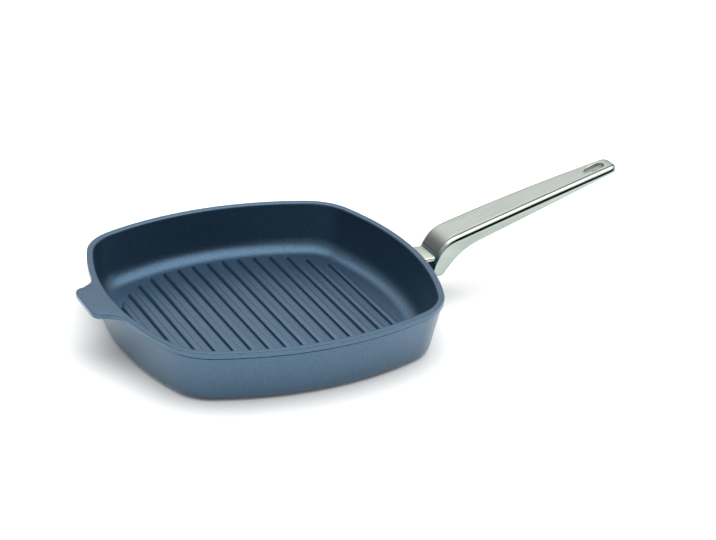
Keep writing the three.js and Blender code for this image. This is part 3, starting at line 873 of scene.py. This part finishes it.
def handle_ring(upper, lower):
    height = (upper - lower).length
    reach_in = min(1, max(0, (upper.x - HOOD_FRONT) / HAUNCH_LENGTH))
    onto_grip = min(1, max(0, (upper.x - HOOD_FRONT) / (GRIP_START - HOOD_FRONT)))
    lean = FLANK_SLOPE * height * reach_in
    half_ring = handle_section(handle_half_width(upper.x), height, lean, onto_grip)
    whole = half_ring + [Vector((-p.x, p.y)) for p in reversed(half_ring)]
    places = []
    for p in whole:
        side = lower.lerp(upper, p.y / height)
        places.append(Vector((side.x, p.x, side.y)))
    return places


def sweep(rings):
    # A closed tube through rings that all have the same number of points
    bm = bmesh.new()
    number = bm.verts.layers.int.new("number")
    verts = bmesh.ops.create_circle(bm, segments=len(rings[0]), radius=MM)["verts"]
    for i, vert in enumerate(verts):
        vert[number] = i
        vert.co = rings[0][i]
    edges = bm.edges[:]
    for ring in rings[1:]:
        grown = bmesh.ops.extrude_edge_only(bm, edges=edges)["geom"]
        edges = only(BMEdge, grown)
        for vert in only(BMVert, grown):
            vert.co = ring[vert[number]]
    close_holes(bm)
    return bm


# Last points of the half section that belong to the flat top and to the step
TOP_LAST = 2
STEP_LAST = 3
BRUSHED_INDEX = 1
CAST_SHADE_INDEX = 2
handle_rings = [handle_ring(upper, lower) for upper, lower in stations]
handle_skin = sweep(handle_rings)
number = handle_skin.verts.layers.int["number"]
ring_size = len(handle_rings[0])
for face in handle_skin.faces:
    places = [min(vert[number], ring_size - 1 - vert[number]) for vert in face.verts]
    if max(places) <= TOP_LAST:
        face.material_index = BRUSHED_INDEX
    # The step takes the dark cast steel, whose colour is painted shade in the step
    elif min(places) >= TOP_LAST and max(places) <= STEP_LAST:
        face.material_index = CAST_SHADE_INDEX
handle_finishes = [polished_steel, brushed_steel, cast_steel_painted_shade]
handle = make_piece("handle_casting", handle_skin, handle_finishes, "stainless_casting", "handle")

# %% [markdown]
# Under the hood the casting is hollow, so that it slips over the boss: two cheeks, a roof, and a pillar in
# which the screw bites. The hollow is drawn as a side view and extruded across, then cut away. The pillar is
# trimmed half-way into the roof before it is joined, so that it can't stand out of the nose.

# %% Hollow the hood
CHEEK = 3.2 * MM
ROOF = 3.2 * MM
CHANNEL_LENGTH = 29.6 * MM
LIP_GAP = 0.5 * MM
PILLAR_RADIUS = 6 * MM
ROOF_STEPS = 16
BORE_SPARE = 0.8 * MM
BORE_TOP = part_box("handle_screw")[1].z + BORE_SPARE
lip_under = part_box("heat_guard")[1].z + LIP_GAP


def roof_place(t, roof):
    along = curve4(lip, rise, shoulder, brow, t + NEAR) - curve4(lip, rise, shoulder, brow, t - NEAR)
    place = curve4(lip, rise, shoulder, brow, t) + Vector((along.y, -along.x)).normalized() * roof
    return Vector((place.x, max(place.y, lip_under)))


def side_place(x, z):
    return Vector((x, -HOOD_HALF + CHEEK, z))


def hood_space(roof):
    # Space between the cheeks, under a roof of the given thickness
    channel_front, channel_back = toe.x - OVERCUT, HOOD_FRONT + CHANNEL_LENGTH
    channel_floor = handle_low.z - OVERCUT
    space = bmesh.new()
    pen = space.verts.new(side_place(channel_front, lip_under))
    for x, z in ((channel_front, channel_floor), (channel_back, channel_floor)):
        pen = stroke(space, pen, side_place(x, z))
    end, near = roof_place(1, roof), roof_place(1 - 5 * NEAR, roof)
    slope = (end.y - near.y) / (end.x - near.x)
    pen = stroke(space, pen, side_place(channel_back, end.y + slope * (channel_back - end.x)))
    for i in reversed(range(ROOF_STEPS + 1)):
        pen = stroke(space, pen, side_place(*roof_place(i / ROOF_STEPS, roof)))
    bmesh.ops.contextual_create(space, geom=space.verts[:])
    _, wall_verts = extrude_faces(space, space.faces[:])
    bmesh.ops.translate(space, verts=wall_verts, vec=(0, 2 * (HOOD_HALF - CHEEK), 0))
    close_holes(space)
    # The walls of the hollow take the dark cast steel, whose colour is painted shade under the hood
    return as_tool(space, CAST_SHADE_INDEX)


pillar = as_tool(rod(PILLAR_RADIUS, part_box("heat_guard")[1].z, BROW_HEIGHT))
cut(pillar, hood_space(ROOF / 2), "INTERSECT")
cut(handle, hood_space(ROOF))
cut(handle, pillar, "UNION")
cut(handle, as_tool(rod(BORE_RADIUS, handle_low.z, BORE_TOP)))

# %% [markdown]
# The hanging slot is a teardrop near the tip, so that a hook slides to the narrow end. Its upper rim is
# rolled over. The cutter is a swept teardrop whose last rings grow outwards along a quarter circle.

# %% Hanging slot
SLOT_FROM_TIP = 14.5 * MM
SLOT_LENGTH = 12.5 * MM
SLOT_WIDE = 4.8 * MM
SLOT_NARROW = 3 * MM
SLOT_RIM = 0.5 * MM
SLOT_STEPS = 18
SLOT_RIM_STEPS = 5

slot_x = handle_high.x - SLOT_FROM_TIP
slot_slope = (grip_end - grip_middle).normalized()
slot_top = grip_middle.lerp(grip_end, (slot_x - grip_middle.x) / (grip_end.x - grip_middle.x))


def teardrop(grow, depth):
    spread = math.acos((SLOT_WIDE - SLOT_NARROW) / SLOT_LENGTH)
    places = []
    arcs = [(0, SLOT_WIDE, spread - math.pi, math.pi - spread)]
    arcs.append((-SLOT_LENGTH, SLOT_NARROW, math.pi - spread, math.pi + spread))
    for centre, radius, start, end in arcs:
        for i in range(SLOT_STEPS + 1):
            turn = start + (end - start) * i / SLOT_STEPS
            along = centre + (radius + grow) * math.cos(turn)
            across = (radius + grow) * math.sin(turn)
            side = slot_top + along * slot_slope - depth * Vector((-slot_slope.y, slot_slope.x))
            places.append(Vector((side.x, across, side.y)))
    return places


slot_rings = [teardrop(0, 2 * GRIP_TIP_DEPTH)]
for i in range(SLOT_RIM_STEPS + 1):
    turn = i / SLOT_RIM_STEPS * QUARTER_TURN
    slot_rings.append(teardrop(SLOT_RIM * (1 - math.cos(turn)), SLOT_RIM * (1 - math.sin(turn))))
slot_rings.append(teardrop(SLOT_RIM, -GRIP_CROWN))
cut(handle, as_tool(sweep(slot_rings), BRUSHED_INDEX))

# %% [markdown]
# The heat guard is a small steel plate that lies on the boss, under the hood. It keeps the flame's heat off
# the handle, and it is what shows between rim and hood. It is a bar with rolled long edges.

# %% Heat guard
GUARD_ROUND = 1.6 * MM
GUARD_END_ROUND = 0.4 * MM
guard_low, guard_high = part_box("heat_guard")
plate = bmesh.new()
bmesh.ops.create_cube(plate, size=1)
bmesh.ops.scale(plate, verts=plate.verts[:], vec=guard_high - guard_low)
bmesh.ops.translate(plate, verts=plate.verts[:], vec=(guard_low + guard_high) / 2)


def runs_along(edge):
    return abs(edge.verts[0].co.x - edge.verts[1].co.x) > GUARD_ROUND


bmesh.ops.bevel(
    plate, geom=[edge for edge in plate.edges if runs_along(edge)], offset=GUARD_ROUND,
    affect="EDGES", segments=6, profile=0.5, material=-1)
ends = [face for face in plate.faces if abs(face.normal.x) > FACING]
end_edges = list({edge for face in ends for edge in face.edges})
bmesh.ops.bevel(
    plate, geom=end_edges, offset=GUARD_END_ROUND, affect="EDGES", segments=3, profile=0.5, material=-1)
heat_guard = make_piece("heat_guard_plate", plate, [guard_steel], "stainless_plate", "heat_guard")
cut(heat_guard, as_tool(rod(BORE_RADIUS, guard_low.z - OVERCUT, guard_high.z + OVERCUT)))

# %% [markdown]
# The screw and its spring washer hold the handle from below. The screw is turned: half of its outline is
# drawn with the pen and spun all the way round, with the thread as fine ridges. Its hexagon socket is cut.

# %% Handle screw
screw_low, screw_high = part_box("handle_screw")
HEAD_RADIUS = screw_high.y
WASHER_HEIGHT = 1.6 * MM
HEAD_TOP = SPOT_FACE - WASHER_HEIGHT
HEAD_ROUND = 0.5 * MM
THREAD_RADIUS = 3 * MM
THREAD_ROOT = 2.55 * MM
THREAD_PITCH = 1 * MM
THREAD_START = 4 * MM
SOCKET_FLATS = 4 * MM
SOCKET_DEPTH = 2.4 * MM
HEXAGON = 6
TURNED_STEPS = 48

outline = bmesh.new()
pen = outline.verts.new((SCREW_X, 0, screw_low.z))
pen = stroke(outline, pen, (SCREW_X + HEAD_RADIUS - HEAD_ROUND, 0, screw_low.z))
round_centre = (SCREW_X + HEAD_RADIUS - HEAD_ROUND, 0, screw_low.z + HEAD_ROUND)
pen = arc(outline, pen, round_centre, ALONG_Y, QUARTER_TURN, EDGE_STEPS)
corners = [(HEAD_RADIUS, HEAD_TOP), (THREAD_RADIUS, HEAD_TOP), (THREAD_RADIUS, HEAD_TOP + THREAD_START)]
threads = int((screw_high.z - HEAD_TOP - THREAD_START) / THREAD_PITCH)
for turn in range(threads):
    height = HEAD_TOP + THREAD_START + turn * THREAD_PITCH
    corners += [(THREAD_ROOT, height + THREAD_PITCH / 2), (THREAD_RADIUS, height + THREAD_PITCH)]
corners += [(THREAD_ROOT, screw_high.z), (0, screw_high.z)]
for radius, height in corners:
    pen = stroke(outline, pen, (SCREW_X + radius, 0, height))
bmesh.ops.spin(
    outline, geom=outline.verts[:] + outline.edges[:], cent=(SCREW_X, 0, 0), axis=(0, 0, 1),
    angle=2 * math.pi, steps=TURNED_STEPS, use_merge=True)
screw = make_piece("handle_screw_turned", outline, [screw_steel], "screw_steel", "handle_screw")
socket_radius = SOCKET_FLATS / 2 / math.cos(math.pi / HEXAGON)
cut(screw, as_tool(rod(socket_radius, screw_low.z - SOCKET_DEPTH, screw_low.z + SOCKET_DEPTH, HEXAGON)))

# %% [markdown]
# A spring washer is a short length of square wire bent to a ring, with a gap where its ends meet. So a small
# rectangle is spun nearly all the way round, and the two open ends are filled.

# %% Split washer
washer_low, washer_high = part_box("split_washer")
WASHER_RADIUS = washer_high.y
WASHER_GAP = 1 * MM
WASHER_EDGE = 0.2 * MM
gap_angle = WASHER_GAP / (WASHER_RADIUS + BORE_RADIUS) * 2
wire = bmesh.new()
wire_start = wire.verts.new((SCREW_X - BORE_RADIUS, 0, washer_low.z))
pen = wire_start
for x, z in ((-WASHER_RADIUS, washer_low.z), (-WASHER_RADIUS, washer_high.z), (-BORE_RADIUS, washer_high.z)):
    pen = stroke(wire, pen, (SCREW_X + x, 0, z))
wire.edges.new((pen, wire_start))
bmesh.ops.rotate(
    wire, verts=wire.verts[:], cent=(SCREW_X, 0, 0), matrix=Matrix.Rotation(gap_angle / 2, 3, "Z"))
bmesh.ops.spin(
    wire, geom=wire.verts[:] + wire.edges[:], cent=(SCREW_X, 0, 0), axis=(0, 0, 1),
    angle=2 * math.pi - gap_angle, steps=TURNED_STEPS)
close_holes(wire)
wire.normal_update()
sharp = [edge for edge in wire.edges if edge.calc_face_angle(0) > SMOOTH_ANGLE]
bmesh.ops.bevel(
    wire, geom=sharp, offset=WASHER_EDGE, affect="EDGES", segments=2, profile=0.5, material=-1)
make_piece("split_washer_spring", wire, [washer_steel], "spring_steel", "split_washer")

# %% [markdown]
# The studio is plain: a sheet of white paper to stand on, and a sky that is painted like soft boxes. The
# paper glows a little, but only to the camera and in mirrors, so that it looks pure white without lighting
# the pan more. Its back is clear, so that the pan can also be looked at from underneath.

# %% Floor
PAPER_SIZE = 6.0
PAPER_GLOW = 0.06
PAPER_FIBRE = 3 * MM
ground = bmesh.new()
bmesh.ops.create_grid(ground, x_segments=8, y_segments=8, size=PAPER_SIZE / 2)
floor_mesh = bpy.data.meshes.new("studio_floor")
ground.to_mesh(floor_mesh)
ground.free()
studio_floor = bpy.data.objects.new("studio_floor", floor_mesh)
bpy.context.scene.collection.objects.link(studio_floor)

paper, tree = new_finish("matt_white_paper")
ray = add_node(tree, "ShaderNodeLightPath", {})
seen = add_node(
    tree, "ShaderNodeMath", {0: ray.outputs["Is Camera Ray"], 1: ray.outputs["Is Glossy Ray"]},
    operation="MAXIMUM")
shown = add_node(
    tree, "ShaderNodeMath", {0: seen.outputs["Value"], 1: ray.outputs["Is Transmission Ray"]},
    operation="MAXIMUM")
glow = add_node(
    tree, "ShaderNodeMath", {0: shown.outputs["Value"], 1: PAPER_GLOW}, operation="MULTIPLY")
place = add_node(tree, "ShaderNodeTexCoord", {}).outputs["Object"]
fibre = add_node(
    tree, "ShaderNodeTexNoise", {"Vector": place, "Scale": per_size(PAPER_FIBRE), "Detail": 2.0})
tint = add_node(tree, "ShaderNodeValToRGB", {"Fac": fibre.outputs["Fac"]})
ramp_stops(tint.color_ramp, shade_stops((0.2, 0.8), ("#f1f2f1", "#f6f7f6")))
sheet = add_node(tree, "ShaderNodeBsdfDiffuse", {"Color": tint.outputs["Color"]})
light = add_node(tree, "ShaderNodeEmission", {"Strength": glow.outputs["Value"]})
lit = add_node(tree, "ShaderNodeAddShader", {0: sheet.outputs["BSDF"], 1: light.outputs["Emission"]})
back = add_node(tree, "ShaderNodeNewGeometry", {}).outputs["Backfacing"]
clear = add_node(tree, "ShaderNodeBsdfTransparent", {})
one_sided = add_node(
    tree, "ShaderNodeMixShader", {0: back, 1: lit.outputs["Shader"], 2: clear.outputs["BSDF"]})
add_node(tree, "ShaderNodeOutputMaterial", {"Surface": one_sided.outputs["Shader"]})
floor_mesh.materials.append(paper)
print("Paper", PAPER_SIZE, "m wide")

# %% [markdown]
# The sky is a world shader that reads the direction of a ray. Six colour ramps give the brightness from the
# horizon to the zenith, one for each part of the room, and soft seams mix them by the ray's direction.
# Overhead is one wide white panel. In front hangs a black screen, which draws the dark bands on the steel
# and keeps the walls of the pan deep. The ramps hold shades below one, so SKY_SCALE makes them bright again.

# %% Studio light
SKY_SCALE = 4.5
ROOM_LIGHT = 0.8
# A colour mix has its colour sockets after those for numbers and vectors
MIX_FIRST = 6
MIX_SECOND = 7
MIX_RESULT = 2


def sky_stops(pairs):
    # Elevation in degrees and brightness, as stops over the sine of the elevation
    shades = [(angle, grey / SKY_SCALE) for angle, grey in pairs]
    return [(math.sin(math.radians(angle)), (grey, grey, grey, 1)) for angle, grey in shades]


SKY = {
    "front left": [(0, 0.4), (20, 0.5), (30, 0.7), (50, 0.8), (64, 2.8)],
    "front middle": [(0, 0.5), (3, 0.5), (4, 0.02), (38, 0.02), (44, 1.6), (62, 3.4)],
    "front right": [(0, 0.5), (3, 0.5), (4, 0.02), (32, 0.02), (40, 2.2), (60, 3.8)],
    "back left": [(0, 0.1), (20, 0.32), (34, 0.8), (46, 1.0), (62, 2.8)],
    "back right": [(0, 0.5), (15, 0.8), (24, 1.0), (34, 1.6), (44, 2.3), (60, 3.8)],
    "right side": [(0, 1.0), (30, 1.1), (45, 1.3)],
}
# Each seam mixes two parts along an axis, from a low to a high direction, into a new part
SEAMS = [
    ("flag", "X", 0.28, 0.42, "front middle", "front right"),
    ("front", "X", -0.12, 0.04, "front left", "flag"),
    ("back", "X", -0.48, -0.18, "back left", "back right"),
    ("middle", "Y", -0.25, 0.25, "front", "back"),
    ("all round", "X", 0.75, 0.95, "middle", "right side"),
]

world = bpy.data.worlds.new("studio_sky")
world.use_nodes = True
tree = world.node_tree
tree.nodes.clear()
direction = add_node(tree, "ShaderNodeTexCoord", {}).outputs["Generated"]
parts = add_node(tree, "ShaderNodeSeparateXYZ", {"Vector": direction})
skies = {}
for part, stops in SKY.items():
    ramp = add_node(tree, "ShaderNodeValToRGB", {"Fac": parts.outputs["Z"]})
    ramp_stops(ramp.color_ramp, sky_stops(stops))
    skies[part] = ramp.outputs["Color"]
for part, axis, low, high, first, second in SEAMS:
    across = add_node(
        tree, "ShaderNodeMapRange",
        {"Value": parts.outputs[axis], "From Min": low, "From Max": high}, interpolation_type="SMOOTHSTEP")
    blend = add_node(
        tree, "ShaderNodeMix",
        {"Factor": across.outputs["Result"], MIX_FIRST: skies[first], MIX_SECOND: skies[second]},
        data_type="RGBA")
    skies[part] = blend.outputs[MIX_RESULT]
glow = add_node(
    tree, "ShaderNodeBackground", {"Color": skies["all round"], "Strength": ROOM_LIGHT * SKY_SCALE})
# The camera itself sees plain white behind the paper's edge
white = add_node(tree, "ShaderNodeBackground", {"Color": (1, 1, 1, 1), "Strength": 1.0})
ray = add_node(tree, "ShaderNodeLightPath", {})
shown = add_node(
    tree, "ShaderNodeMixShader",
    {0: ray.outputs["Is Camera Ray"], 1: glow.outputs["Background"], 2: white.outputs["Background"]})
add_node(tree, "ShaderNodeOutputWorld", {"Surface": shown.outputs["Shader"]})
bpy.context.scene.world = world
bpy.context.scene.view_settings.view_transform = "Standard"
print("Sky painted")
